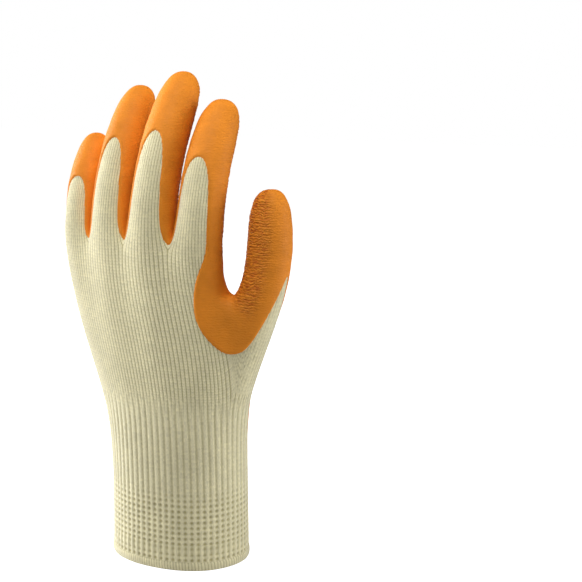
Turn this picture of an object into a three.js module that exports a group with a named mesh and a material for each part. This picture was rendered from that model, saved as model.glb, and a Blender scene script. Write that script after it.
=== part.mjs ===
import * as THREE from "three";

// A knitted work glove with a dipped latex grip, as worn on a left hand. Millimetres.
// +Z runs from the cuff to the fingertips, the back of the hand faces -Y and the thumb is towards +X.
// The origin is the middle of the cuff's mouth, where the wrist goes in.

// Cuff and hand
const cuffWidth = 72;
const cuffDepth = 56;
const cuffHeight = 66;
const hemHeight = 4.5;
const handHeight = 89;
const handDepth = 32;
const knuckleLean = 24.5;

// Fingers and thumb. Widths are over the knit, without the latex.
const littleWidth = 16.5;
const littleLength = 61;
const ringWidth = 20;
const ringLength = 91;
const middleWidth = 22;
const middleLength = 98;
const indexWidth = 21.8;
const indexLength = 82;
const fingerGap = 4.3;
const thumbWidth = 22.3;
const thumbLength = 88;

// Walls
const linerWall = 1.2;
const hemWall = 2.2;
const coatWall = 0.8;
const seatGap = 0.3;

// From the little finger to the index finger. lean turns a finger sideways and curl bends it towards the
// palm, in degrees; setBack is how far its root lies to the palm side, as a share of the hand's depth.
const fingers = [
  { name: "little", width: littleWidth, length: littleLength, lean: -4, curlStart: 6, curlEnd: 48, setBack: 0.2 },
  { name: "ring", width: ringWidth, length: ringLength, lean: -2, curlStart: 4, curlEnd: 52, setBack: 0.015 },
  { name: "middle", width: middleWidth, length: middleLength, lean: -0.5, curlStart: 3, curlEnd: 50, setBack: -0.11 },
  { name: "index", width: indexWidth, length: indexLength, lean: -1.5, curlStart: 2, curlEnd: 50, setBack: -0.06 },
];
const fingerDepthShare = 0.98;
// The thumb starts inside the hand: rootX is a share of half the knuckles' width, rootY of the hand's
// depth and rootZ of its height. Its heading turns from outwards to upwards, rise tips it to the palm.
// The higher swing is, the sooner the heading turns.
const thumb = {
  rootX: 0.515,
  rootY: 0.03,
  rootZ: 0.432,
  headingStart: 48,
  headingEnd: -9,
  swing: 1.75,
  rise: 9,
  roll: 18,
};

// Latex line on each finger. left and right are half the width of the knit strip on the back, in 45
// degree steps; knitEnd is the share of the finger's length where it closes, round or pointed.
const latexOnFinger = {
  little: { left: 1.7, right: 0.95, knitEnd: 0.54, round: 2 },
  ring: { left: 1.25, right: 0.95, knitEnd: 0.6, round: 2 },
  middle: { left: 1.25, right: 0.95, knitEnd: 0.6, round: 2 },
  index: { left: 1.25, right: 1.0, knitEnd: 0.56, round: 2 },
  thumb: { left: 1.5, right: 0.9, knitEnd: 0.6, round: 1 },
};
// Latex line on the hand: how far it stays from the middle of the back, in grid columns, by height.
// height is a share of the way from the rim to the finger crotches; the middle of the palm is column 10.
// lowEdge is the height of the coat's level edge across the heel of the hand.
const latexOnHand = {
  lowEdge: 0.247,
  littleSide: [
    { height: 0.25, column: 7.8 },
    { height: 0.262, column: 7.0 },
    { height: 0.285, column: 6.45 },
    { height: 0.33, column: 5.95 },
    { height: 0.4, column: 5.45 },
    { height: 0.55, column: 4.9 },
    { height: 1.0, column: 4.7 },
  ],
  thumbSide: [
    { height: 0.25, column: 8.2 },
    { height: 0.262, column: 7.4 },
    { height: 0.285, column: 6.9 },
    { height: 0.33, column: 6.5 },
    { height: 0.4, column: 6.3 },
    { height: 0.5, column: 6.0 },
    { height: 0.6, column: 5.3 },
    { height: 0.65, column: 4.9 },
    { height: 0.68, column: 4.15 },
    { height: 0.7, column: 3.5 },
    { height: 0.73, column: 3.0 },
    { height: 0.76, column: 2.8 },
    { height: 0.82, column: 2.75 },
    { height: 0.9, column: 3.05 },
    { height: 0.95, column: 3.4 },
    { height: 1.0, column: 3.9 },
  ],
};

// Grid rows of the cuff and hand. height is a share of the stretch named by part; spread, flat, lean and
// knuckle go from 0 at the wrist to 1 at the knuckles. The thumb grows between the rows that have web,
// which is how far they reach out to it, as a share of its width, or less than 0 for a tuck inwards.
const handRows = [
  { part: "cuff", height: 0, spread: 0, flat: 0, lean: 0, knuckle: 0 },
  { part: "hem", height: 1, spread: 0, flat: 0, lean: 0, knuckle: 0 },
  { part: "hem", height: 2, spread: 0, flat: 0, lean: 0, knuckle: 0 },
  { part: "cuff", height: 0.55, spread: -0.05, flat: 0.03, lean: 0.01, knuckle: 0 },
  { part: "cuff", height: 1, spread: 0.02, flat: 0.06, lean: 0.06, knuckle: 0 },
  { part: "hand", height: 0.2, spread: 0.42, flat: 0.25, lean: 0.17, knuckle: 0.1, web: 0 },
  { part: "hand", height: 0.5, spread: 0.95, flat: 0.5, lean: 0.48, knuckle: 0.25, web: 0 },
  { part: "hand", height: 0.78, spread: 0.98, flat: 0.75, lean: 0.83, knuckle: 0.55, web: -0.12 },
  { part: "hand", height: 1, spread: 1, flat: 1, lean: 1, knuckle: 1 },
];
// Grid rings of a finger and of the thumb: along is a share of its length and girth of its width.
const fingerRings = [
  { along: 0.2, girth: 1.0 },
  { along: 0.42, girth: 0.99 },
  { along: 0.65, girth: 0.97 },
  { along: 0.86, girth: 0.9 },
  { along: 0.98, girth: 0.58 },
];
const thumbRings = [
  { along: 0.325, girth: 1.03 },
  { along: 0.5, girth: 0.92 },
  { along: 0.68, girth: 0.96 },
  { along: 0.87, girth: 0.88 },
  { along: 0.98, girth: 0.56 },
];

const radians = Math.PI / 180;
const crotchHeight = cuffHeight + handHeight;
const backColumns = 8;
const ringColumns = 8;
const handColumns = 20;
const columnWidth = (Math.PI * (cuffWidth + cuffDepth)) / 2 / handColumns;
// A cubic subdivision surface runs inside its grid: this is how far, for a ring of eight.
const ringShrink = (2 + Math.cos((2 * Math.PI) / ringColumns)) / 3;

// Roots of the fingers along the arch of the knuckles, set apart by their widths and the gap.
function fingerRoots() {
  const roots = [];
  let x = 0;
  fingers.forEach((finger, i) => {
    if (i > 0) {
      const before = fingers[i - 1];
      const apart = (before.width + finger.width) / 2 + fingerGap;
      const back = (finger.setBack - before.setBack) * handDepth;
      x += Math.sqrt(Math.max(apart * apart - back * back, 1));
    }
    roots.push(x);
  });
  const middle = (roots[0] - fingers[0].width / 2 + roots[3] + fingers[3].width / 2) / 2;
  return roots.map((r) => r - middle);
}
const rootX = fingerRoots();
const knuckleHalf = rootX[3] + fingers[3].width / 2;

// Sideways place of each of the nine columns across the back at the knuckles.
function knuckleColumns() {
  const corner = Math.SQRT1_2 / ringShrink;
  const columns = [rootX[0] - (fingers[0].width / 2) * corner];
  for (let i = 0; i < 4; i++) {
    columns.push(rootX[i]);
    if (i < 3) {
      const left = rootX[i] + fingers[i].width / 2;
      const right = rootX[i + 1] - fingers[i + 1].width / 2;
      columns.push((left + right) / 2);
    }
  }
  columns.push(rootX[3] + (fingers[3].width / 2) * corner);
  return columns;
}
const acrossKnuckles = knuckleColumns();

function heightOf(row) {
  if (row.part === "hem") return hemHeight * row.height;
  if (row.part === "cuff") return cuffHeight * row.height;
  return cuffHeight + handHeight * row.height;
}

// Depth of the arch of the knuckles at a sideways place.
function archAt(x) {
  if (x <= rootX[0]) return fingers[0].setBack * handDepth;
  for (let i = 0; i < 3; i++) {
    if (x <= rootX[i + 1]) {
      const t = (x - rootX[i]) / (rootX[i + 1] - rootX[i]);
      return THREE.MathUtils.lerp(fingers[i].setBack, fingers[i + 1].setBack, t) * handDepth;
    }
  }
  return fingers[3].setBack * handDepth;
}

// One grid point of the hand tube: column 0 to 8 across the back, 9 the thumb side, 10 to 18 back
// across the palm and 19 the little finger's side.
function handPoint(row, column) {
  const onBack = column <= backColumns;
  const onSide = column === 9 || column === 19;
  const index = onBack ? column : 18 - column;
  const sideSign = column === 9 ? 1 : -1;
  const share = onSide ? sideSign : acrossKnuckles[index] / knuckleHalf;
  const half = THREE.MathUtils.lerp(cuffWidth / 2, knuckleHalf, row.spread);
  const depth = THREE.MathUtils.lerp(cuffDepth / 2, handDepth / 2, row.flat);
  const roundness = 2.25;
  const bulge = onSide ? 0 : Math.pow(1 - Math.pow(Math.abs(share), roundness), 1 / roundness);
  const faceSign = onBack ? -1 : 1;
  const plainY = onSide ? 0 : faceSign * depth * bulge;
  // At the knuckles each finger has its own rounded back and palm, with a dip at each crotch.
  const finger = fingers[Math.min(3, Math.floor(index / 2))];
  const isCrotch = index % 2 === 0;
  const reach = isCrotch ? 0.62 : 1;
  const knuckleY = onSide ? 0 : faceSign * ((finger.width * fingerDepthShare) / 2 / ringShrink) * reach;
  const isWeb = row.web && column >= 8 && column <= 10;
  const x = share * half * (onSide ? 1.03 : 1) + (isWeb ? row.web * thumbWidth : 0);
  const arch = archAt(share * knuckleHalf) * row.lean;
  return new THREE.Vector3(
    x - knuckleLean * row.lean,
    THREE.MathUtils.lerp(plainY, knuckleY, row.knuckle) + arch,
    heightOf(row),
  );
}

// Corner directions of a ring of eight round a finger: back left, back, back right, right, and so on.
function ringPoint(center, back, right, halfWidth, halfDepth, j) {
  const angle = (135 - 45 * j) * radians;
  return center
    .clone()
    .addScaledVector(right, (Math.cos(angle) * halfWidth) / ringShrink)
    .addScaledVector(back, (Math.sin(angle) * halfDepth) / ringShrink);
}

// Middle line and frame of a curling finger at a share of its length.
function fingerFrame(i, along) {
  const { length, lean, curlStart, curlEnd, setBack } = fingers[i];
  const start = curlStart * radians;
  const turn = (curlEnd - curlStart) * radians;
  const heading = start + turn * along;
  const side = lean * radians;
  const up = (Math.sin(heading) - Math.sin(start)) / turn;
  const over = (Math.cos(start) - Math.cos(heading)) / turn;
  const center = new THREE.Vector3(
    rootX[i] - knuckleLean + length * along * Math.sin(side),
    setBack * handDepth + length * over * Math.cos(side),
    crotchHeight + length * up * Math.cos(side),
  );
  const back = new THREE.Vector3(0, -Math.cos(heading), Math.sin(heading));
  const right = new THREE.Vector3(
    Math.cos(side),
    -Math.sin(side) * Math.sin(heading),
    -Math.sin(side) * Math.cos(heading),
  );
  return { center, back, right };
}

// The thumb swings out from the hand and turns back up beside it; its back faces +X.
function thumbFrame(along) {
  const { headingStart, headingEnd, swing, rise, roll } = thumb;
  const length = thumbLength;
  const headingAt = (t) => (headingEnd + (headingStart - headingEnd) * Math.pow(1 - t, swing)) * radians;
  const center = new THREE.Vector3(
    knuckleHalf * thumb.rootX,
    handDepth * thumb.rootY + length * along * Math.sin(rise * radians),
    cuffHeight + handHeight * thumb.rootZ,
  );
  const steps = 40;
  for (let i = 0; i < steps; i++) {
    const heading = headingAt((along * (i + 0.5)) / steps);
    center.x += (length * along * Math.sin(heading)) / steps;
    center.z += (length * along * Math.cos(heading)) / steps;
  }
  const heading = headingAt(along);
  const outward = new THREE.Vector3(Math.cos(heading), 0, -Math.sin(heading));
  const palmward = new THREE.Vector3(0, 1, 0);
  const turned = roll * along * radians;
  const back = outward.clone().multiplyScalar(Math.cos(turned)).addScaledVector(palmward, Math.sin(turned));
  const right = palmward.clone().multiplyScalar(Math.cos(turned)).addScaledVector(outward, -Math.sin(turned));
  return { center, back, right };
}

// The coarse grid: points, and four-cornered faces that each carry their part's name and, at each
// corner, a column and a row along that part.
function makeGrid() {
  const points = [];
  const faces = [];
  const add = (p) => points.push(p) - 1;
  const hand = handRows.map((row) =>
    Array.from({ length: handColumns }, (_, c) => add(handPoint(row, c))),
  );
  const top = handRows.length - 1;
  const holeRow = handRows.findIndex((row) => "web" in row);
  for (let k = 0; k < top; k++) {
    for (let c = 0; c < handColumns; c++) {
      const inHole = (c === 8 || c === 9) && (k === holeRow || k === holeRow + 1);
      if (inHole) continue;
      const d = (c + 1) % handColumns;
      let part = "hand";
      if (k === 0) part = "hem";
      else if (handRows[k + 1].part !== "hand") part = "cuff";
      faces.push({
        part,
        corners: [hand[k][c], hand[k][d], hand[k + 1][d], hand[k + 1][c]],
        place: [[c, k], [c + 1, k], [c + 1, k + 1], [c, k + 1]],
      });
    }
  }
  const back = (i) => hand[top][i];
  const palm = (i) => hand[top][18 - i];
  // Middle point of each crotch, between the back and the palm.
  const crotch = [hand[top][19]];
  for (let i = 1; i < 4; i++) {
    const middle = points[back(2 * i)].clone().add(points[palm(2 * i)]).multiplyScalar(0.5);
    crotch.push(add(middle));
  }
  crotch.push(hand[top][9]);
  const grow = (part, base, rings, frameAt, width, depth) => {
    let ring = base;
    const rows = rings.length;
    for (let k = 0; k <= rows; k++) {
      const last = k === rows;
      if (last) {
        const { center } = frameAt(1);
        const tip = add(center);
        const cap = [[0, 1, -1, 7], [1, 2, 3, -1], [-1, 3, 4, 5], [7, -1, 5, 6]];
        for (const quad of cap) {
          const column = quad.find((j) => j === 1 || j === 5);
          faces.push({
            part,
            corners: quad.map((j) => (j < 0 ? tip : ring[j])),
            place: quad.map((j) => [j < 0 ? column : j === 7 && quad[0] === 0 ? -1 : j, j < 0 ? rows + 1 : rows]),
          });
        }
        return;
      }
      const { along, girth } = rings[k];
      const { center, back: up, right } = frameAt(along);
      const next = Array.from({ length: ringColumns }, (_, j) =>
        add(ringPoint(center, up, right, (width * girth) / 2, (depth * girth) / 2, j)),
      );
      for (let j = 0; j < ringColumns; j++) {
        const m = (j + 1) % ringColumns;
        faces.push({
          part,
          corners: [ring[j], ring[m], next[m], next[j]],
          place: [[j, k], [j + 1, k], [j + 1, k + 1], [j, k + 1]],
        });
      }
      ring = next;
    }
  };
  fingers.forEach((finger, i) => {
    const base = [
      back(2 * i), back(2 * i + 1), back(2 * i + 2), crotch[i + 1],
      palm(2 * i + 2), palm(2 * i + 1), palm(2 * i), crotch[i],
    ];
    const depth = finger.width * fingerDepthShare;
    grow(finger.name, base, fingerRings, (t) => fingerFrame(i, t), finger.width, depth);
  });
  const h = (c, k) => hand[holeRow + k][c];
  const thumbBase = [h(8, 0), h(9, 0), h(10, 0), h(10, 1), h(10, 2), h(9, 2), h(8, 2), h(8, 1)];
  grow("thumb", thumbBase, thumbRings, thumbFrame, thumbWidth, thumbWidth);
  return { points, faces };
}

const pairKey = (a, b) => (a < b ? `${a}_${b}` : `${b}_${a}`);
const average = (vectors) =>
  vectors.reduce((sum, v) => sum.add(v), new THREE.Vector3()).divideScalar(vectors.length);
const middleOf = (p, q) => p.map((value, n) => (value + q[n]) / 2);

// One round of Catmull-Clark subdivision. Open edges follow a cubic curve.
function subdivide({ points, faces }) {
  const facePoints = faces.map((f) => average(f.corners.map((c) => points[c])));
  const edges = new Map();
  const facesAt = points.map(() => []);
  faces.forEach((f, n) => {
    f.corners.forEach((c, i) => {
      const d = f.corners[(i + 1) % 4];
      const key = pairKey(c, d);
      if (!edges.has(key)) edges.set(key, { ends: [c, d], faces: [] });
      edges.get(key).faces.push(n);
      facesAt[c].push(n);
    });
  });
  const edgesAt = points.map(() => []);
  for (const edge of edges.values()) edge.ends.forEach((c) => edgesAt[c].push(edge));
  const made = points.map((p, c) => {
    const open = edgesAt[c].filter((e) => e.faces.length === 1);
    if (open.length > 0) {
      const far = open.map((e) => points[e.ends[0] === c ? e.ends[1] : e.ends[0]]);
      return p.clone().multiplyScalar(6).add(far[0]).add(far[1]).divideScalar(8);
    }
    const n = facesAt[c].length;
    const faceMean = average(facesAt[c].map((m) => facePoints[m]));
    const edgeMean = average(edgesAt[c].map((e) => average(e.ends.map((end) => points[end]))));
    return faceMean.addScaledVector(edgeMean, 2).addScaledVector(p, n - 3).divideScalar(n);
  });
  const edgeIndex = new Map();
  for (const [key, edge] of edges) {
    const around = edge.ends.map((c) => points[c]);
    if (edge.faces.length === 2) around.push(...edge.faces.map((n) => facePoints[n]));
    edgeIndex.set(key, made.push(average(around)) - 1);
  }
  const children = [];
  faces.forEach((f, n) => {
    const middle = made.push(facePoints[n]) - 1;
    const centerPlace = middleOf(middleOf(f.place[0], f.place[2]), middleOf(f.place[1], f.place[3]));
    f.corners.forEach((c, i) => {
      const next = (i + 1) % 4;
      const before = (i + 3) % 4;
      children.push({
        part: f.part,
        corners: [
          c,
          edgeIndex.get(pairKey(c, f.corners[next])),
          middle,
          edgeIndex.get(pairKey(c, f.corners[before])),
        ],
        place: [
          f.place[i],
          middleOf(f.place[i], f.place[next]),
          centerPlace,
          middleOf(f.place[i], f.place[before]),
        ],
      });
    });
  });
  return { points: made, faces: children };
}

// Moves each point of a subdivided grid onto the smooth surface that further rounds would reach.
function settle({ points, faces }) {
  const near = points.map(() => new Map());
  const across = points.map(() => []);
  faces.forEach((f) => {
    f.corners.forEach((c, i) => {
      const next = f.corners[(i + 1) % 4];
      near[c].set(next, (near[c].get(next) || 0) + 1);
      near[next].set(c, (near[next].get(c) || 0) + 1);
      across[c].push(f.corners[(i + 2) % 4]);
    });
  });
  const settled = points.map((p, c) => {
    const open = [...near[c]].filter(([, uses]) => uses === 1).map(([other]) => points[other]);
    if (open.length > 0) return p.clone().multiplyScalar(4).add(open[0]).add(open[1]).divideScalar(6);
    const n = across[c].length;
    const sum = p.clone().multiplyScalar(n * n);
    for (const other of near[c].keys()) sum.addScaledVector(points[other], 4);
    for (const other of across[c]) sum.add(points[other]);
    return sum.divideScalar(n * (n + 5));
  });
  return { points: settled, faces };
}

// Directions square to the surface at each point; level at the rim so that the mouth stays flat.
function normalsOf({ points, faces }) {
  const normals = points.map(() => new THREE.Vector3());
  for (const f of faces) {
    const [a, b, c, d] = f.corners.map((n) => points[n]);
    const square = new THREE.Vector3().subVectors(c, a).cross(new THREE.Vector3().subVectors(d, b));
    f.corners.forEach((n) => normals[n].add(square));
  }
  normals.forEach((n, i) => {
    if (points[i].z < hemHeight / 4) n.z = 0;
    n.normalize();
  });
  return normals;
}

const rowBetween = (rows, height) => {
  const upper = rows.findIndex((row) => row.height >= height);
  if (upper <= 0) return rows[upper === 0 ? 0 : rows.length - 1].column;
  const below = rows[upper - 1];
  const above = rows[upper];
  const t = (height - below.height) / (above.height - below.height);
  return THREE.MathUtils.lerp(below.column, above.column, t);
};

// How far a place on the grid is inside the latex: above 0 is coated.
function latexDepth(part, [column, row], point) {
  if (part === "hem") return -1;
  if (part === "cuff" || part === "hand") {
    const fromBack = Math.abs((((column - 4) % handColumns) + handColumns) % handColumns);
    const onThumbSide = fromBack <= 10;
    const away = onThumbSide ? fromBack : handColumns - fromBack;
    const rows = onThumbSide ? latexOnHand.thumbSide : latexOnHand.littleSide;
    const aboveEdge = (point.z - latexOnHand.lowEdge * crotchHeight) / columnWidth;
    return Math.min(away - rowBetween(rows, point.z / crotchHeight), aboveEdge);
  }
  const line = latexOnFinger[part];
  const fromBack = (((column - 1) % ringColumns) + ringColumns) % ringColumns;
  const onRight = fromBack <= 4;
  const away = onRight ? fromBack : ringColumns - fromBack;
  const rings = part === "thumb" ? thumbRings : fingerRings;
  const stations = [0, ...rings.map((ring) => ring.along), 1];
  const k = Math.min(Math.floor(row), stations.length - 2);
  const along = THREE.MathUtils.lerp(stations[k], stations[k + 1], row - k);
  const half = onRight ? line.right : line.left;
  const { round, knitEnd } = line;
  return Math.pow(away / half, round) + Math.pow(along / knitEnd, 2 * round) - 1;
}

const glove = settle(subdivide(makeGrid()));
const gloveNormals = normalsOf(glove);

// Sorts the surface into triangles for one piece. Each corner is a point of the surface.
function trianglesOf(parts) {
  const wanted = glove.faces.filter((f) => parts.includes(f.part));
  return wanted.flatMap((f) => {
    const [a, b, c, d] = f.corners;
    return [[a, b, c], [a, c, d]];
  });
}

// Cuts triangles along the latex line, keeping the coated side.
function coatedTriangles() {
  const sums = glove.points.map(() => ({ total: 0, count: 0 }));
  for (const f of glove.faces) {
    f.corners.forEach((c, i) => {
      sums[c].total += latexDepth(f.part, f.place[i], glove.points[c]);
      sums[c].count += 1;
    });
  }
  const closest = 0.06;
  const depth = sums.map(({ total, count }) => {
    const value = total / count;
    return Math.abs(value) < closest ? closest : value;
  });
  const points = [...glove.points];
  const normals = [...gloveNormals];
  const cuts = new Map();
  const cutBetween = (a, b) => {
    const key = pairKey(a, b);
    if (!cuts.has(key)) {
      const t = THREE.MathUtils.clamp(depth[a] / (depth[a] - depth[b]), 0.08, 0.92);
      points.push(points[a].clone().lerp(points[b], t));
      normals.push(normals[a].clone().lerp(normals[b], t).normalize());
      cuts.set(key, points.length - 1);
    }
    return cuts.get(key);
  };
  const kept = [];
  const parts = ["cuff", "hand", "thumb", ...fingers.map((f) => f.name)];
  for (const triangle of trianglesOf(parts)) {
    const outline = [];
    triangle.forEach((a, i) => {
      const b = triangle[(i + 1) % 3];
      if (depth[a] > 0) outline.push(a);
      if (depth[a] > 0 !== depth[b] > 0) outline.push(depth[a] > 0 ? cutBetween(a, b) : cutBetween(b, a));
    });
    for (let i = 1; i + 1 < outline.length; i++) kept.push([outline[0], outline[i], outline[i + 1]]);
  }
  return { triangles: kept, points, normals };
}

// A closed wall between two distances from the surface. Its open edges draw back by half the seat gap.
function wallGeometry({ triangles, points, normals }, inner, outer, drawBack) {
  const places = new Map();
  const edges = new Map();
  for (const t of triangles) {
    t.forEach((a, i) => {
      const b = t[(i + 1) % 3];
      const key = pairKey(a, b);
      edges.set(key, edges.has(key) ? null : [a, b]);
    });
  }
  const open = [...edges.values()].filter(Boolean);
  // Each open edge draws back square to itself, within the surface.
  const pulls = new Map();
  for (const [a, b] of open) {
    const along = points[b].clone().sub(points[a]);
    for (const end of [a, b]) {
      if (!pulls.has(end)) pulls.set(end, []);
      pulls.get(end).push(normals[end].clone().cross(along).normalize());
    }
  }
  const corner = (a, offset) => {
    const key = `${a}_${offset}`;
    if (!places.has(key)) {
      const p = points[a].clone().addScaledVector(normals[a], offset);
      if (drawBack > 0 && pulls.has(a) && points[a].z > hemHeight / 4) {
        p.addScaledVector(average(pulls.get(a)).normalize(), drawBack);
      }
      places.set(key, p);
    }
    return places.get(key);
  };
  const position = [];
  const put = (...corners) => corners.forEach((p) => position.push(p.x, p.y, p.z));
  for (const [a, b, c] of triangles) {
    put(corner(a, outer), corner(b, outer), corner(c, outer));
    put(corner(c, inner), corner(b, inner), corner(a, inner));
  }
  // Neighbouring pieces split the end face along the same diagonal, so the gap between them is even.
  for (const [a, b] of open) {
    if (a < b) {
      put(corner(b, outer), corner(a, outer), corner(a, inner));
      put(corner(b, outer), corner(a, inner), corner(b, inner));
    } else {
      put(corner(b, outer), corner(a, outer), corner(b, inner));
      put(corner(a, outer), corner(a, inner), corner(b, inner));
    }
  }
  const geometry = new THREE.BufferGeometry();
  geometry.setAttribute("position", new THREE.Float32BufferAttribute(position, 3));
  geometry.computeVertexNormals();
  return geometry;
}

const knitMaterial = new THREE.MeshStandardMaterial({ color: 0xe4dfb8, roughness: 0.95, metalness: 0 });
const ribMaterial = new THREE.MeshStandardMaterial({ color: 0xd9d4ad, roughness: 0.95, metalness: 0 });
const hemMaterial = new THREE.MeshStandardMaterial({ color: 0xe6dfae, roughness: 0.95, metalness: 0 });
const latexMaterial = new THREE.MeshStandardMaterial({ color: 0xdf7d22, roughness: 0.55, metalness: 0 });

const group = new THREE.Group();
const knitSurface = (parts) => ({ triangles: trianglesOf(parts), points: glove.points, normals: gloveNormals });
const addPiece = (name, geometry, material) => {
  const mesh = new THREE.Mesh(geometry, material);
  mesh.name = name;
  group.add(mesh);
};

const hemOut = (hemWall - linerWall) / 2;
addPiece("cuff_hem", wallGeometry(knitSurface(["hem"]), hemOut - hemWall, hemOut, seatGap / 2), hemMaterial);
addPiece("rib_cuff", wallGeometry(knitSurface(["cuff"]), -linerWall, 0, seatGap / 2), ribMaterial);
for (const name of ["hand", "thumb", "index", "middle", "ring", "little"]) {
  addPiece(`knit_${name}`, wallGeometry(knitSurface([name]), -linerWall, 0, seatGap / 2), knitMaterial);
}
addPiece("latex_coat", wallGeometry(coatedTriangles(), seatGap, seatGap + coatWall, 0), latexMaterial);

export default group;
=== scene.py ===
"""A knitted work glove with a crinkled latex grip, as worn on a left hand.

It is built in the order in which such a glove is made: the seamless knit is formed on the shape of a
hand, the cuff's rim is overlocked, and the palm and fingertips are dipped in latex and crinkled.
Sizes are in millimetres, and a mesh is turned to metres when it is made.
"""

import math

import bpy
import numpy as np
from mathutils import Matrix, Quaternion, Vector, noise


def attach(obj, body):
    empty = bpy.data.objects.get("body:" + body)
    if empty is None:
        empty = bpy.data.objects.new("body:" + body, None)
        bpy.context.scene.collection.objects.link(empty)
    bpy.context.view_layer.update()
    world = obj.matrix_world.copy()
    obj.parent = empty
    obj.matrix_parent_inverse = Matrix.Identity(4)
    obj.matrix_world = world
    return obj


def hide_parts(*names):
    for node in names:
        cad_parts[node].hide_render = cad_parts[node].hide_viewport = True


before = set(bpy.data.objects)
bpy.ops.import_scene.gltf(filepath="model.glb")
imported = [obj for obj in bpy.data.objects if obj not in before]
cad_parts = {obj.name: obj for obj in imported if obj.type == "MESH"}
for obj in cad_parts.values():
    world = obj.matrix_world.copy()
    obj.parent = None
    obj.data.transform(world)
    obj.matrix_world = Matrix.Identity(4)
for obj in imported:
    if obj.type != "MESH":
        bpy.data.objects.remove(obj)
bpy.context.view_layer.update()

# The hand's form. The machine knits the glove in one piece from the fingertips to the cuff, so one smooth
# skin carries every piece: a coarse net of four-sided panels, with a column and a row at each corner.
# Columns count round the hand or finger from the little finger's side of the back, rows count upwards.

CUFF_WIDTH, CUFF_DEPTH, CUFF_HEIGHT = 72, 56, 66
HEM_HEIGHT = 4.5
HAND_HEIGHT, HAND_DEPTH, KNUCKLE_LEAN = 89, 32, 24.5
CROTCH_HEIGHT = CUFF_HEIGHT + HAND_HEIGHT
# The hand's section is an oval of this power, its sides stand out a little, and between two fingers it has
# this share of a finger's depth.
OVAL_POWER, SIDE_BULGE, VALLEY_SHARE = 2.25, 1.03, 0.62
FINGER_GAP = 4.3
FINGER_DEPTH_SHARE = 0.98
THUMB_WIDTH, THUMB_LENGTH = 22.3, 88
# The thumb's root, in shares of half the knuckles' width, of the hand's depth and of its height. In degrees,
# how far the thumb points outwards at its root and at its tip, rises towards the palm and rolls over.
THUMB_ROOT = (0.515, 0.03, 0.432)
THUMB_START, THUMB_END, THUMB_RISE, THUMB_ROLL = 48, -9, 9, 18
THUMB_SWING = 1.75
LINER_WALL = 1.2
HAND_COLUMNS, RING_COLUMNS = 20, 8

# Width and length, sideways lean and curl at the root and at the tip in degrees, and how far the root is set
# back towards the palm as a share of the hand's depth.
FINGERS = {
    "little": (16.5, 61, -4, 6, 48, 0.2),
    "ring": (20, 91, -2, 4, 52, 0.015),
    "middle": (22, 98, -0.5, 3, 50, -0.11),
    "index": (21.8, 82, -1.5, 2, 50, -0.06),
}
FINGER_NAMES = list(FINGERS)
# Shares of the length and the width at each ring of the net.
FINGER_RINGS = [(0.2, 1.0), (0.42, 0.99), (0.65, 0.97), (0.86, 0.9), (0.98, 0.58)]
THUMB_RINGS = [(0.325, 1.03), (0.5, 0.92), (0.68, 0.96), (0.87, 0.88), (0.98, 0.56)]
# Height, and how far the row has gone from wrist to knuckles in spread, flatness, lean and knuckle
# shape. The last figure is how far the row reaches out to the thumb, on the three rows it grows from.
HAND_ROWS = [
    (0, 0, 0, 0, 0, None),
    (HEM_HEIGHT, 0, 0, 0, 0, None),
    (2 * HEM_HEIGHT, 0, 0, 0, 0, None),
    (0.55 * CUFF_HEIGHT, -0.05, 0.03, 0.01, 0, None),
    (CUFF_HEIGHT, 0.02, 0.06, 0.06, 0, None),
    (CUFF_HEIGHT + 0.2 * HAND_HEIGHT, 0.42, 0.25, 0.17, 0.1, 0),
    (CUFF_HEIGHT + 0.5 * HAND_HEIGHT, 0.95, 0.5, 0.48, 0.25, 0),
    (CUFF_HEIGHT + 0.78 * HAND_HEIGHT, 0.98, 0.75, 0.83, 0.55, -0.12),
    (CROTCH_HEIGHT, 1, 1, 1, 1, None),
]
TOP_ROW = len(HAND_ROWS) - 1
THUMB_ROW = 5
TUBE_PARTS = ("hem", "cuff", "hand")
# The smooth skin runs inside a ring's corners, this share of the way out.
RING_SHRINK = (2 + math.cos(math.tau / RING_COLUMNS)) / 3


def mix(a, b, t):
    """A share t of the way from a to b."""
    return a + (b - a) * t


def finger_roots():
    """Sideways place of each finger's root along the arch of the knuckles."""
    x, roots = 0, [0]
    sizes = list(FINGERS.values())
    for before, finger in zip(sizes, sizes[1:]):
        apart = (before[0] + finger[0]) / 2 + FINGER_GAP
        back = (finger[5] - before[5]) * HAND_DEPTH
        x += math.sqrt(apart * apart - back * back)
        roots.append(x)
    middle = (roots[0] - sizes[0][0] / 2 + roots[3] + sizes[3][0] / 2) / 2
    return [root - middle for root in roots]


ROOT_X = finger_roots()
WIDTHS = [finger[0] for finger in FINGERS.values()]
SET_BACKS = [finger[5] for finger in FINGERS.values()]
KNUCKLE_HALF = ROOT_X[3] + WIDTHS[3] / 2


def knuckle_columns():
    """Sideways place of each of the nine columns across the back at the knuckles."""
    corner = math.sqrt(0.5) / RING_SHRINK
    columns = [ROOT_X[0] - WIDTHS[0] / 2 * corner]
    for i in range(4):
        columns.append(ROOT_X[i])
        if i < 3:
            columns.append((ROOT_X[i] + WIDTHS[i] / 2 + ROOT_X[i + 1] - WIDTHS[i + 1] / 2) / 2)
    return columns + [ROOT_X[3] + WIDTHS[3] / 2 * corner]


ACROSS_KNUCKLES = knuckle_columns()


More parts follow.
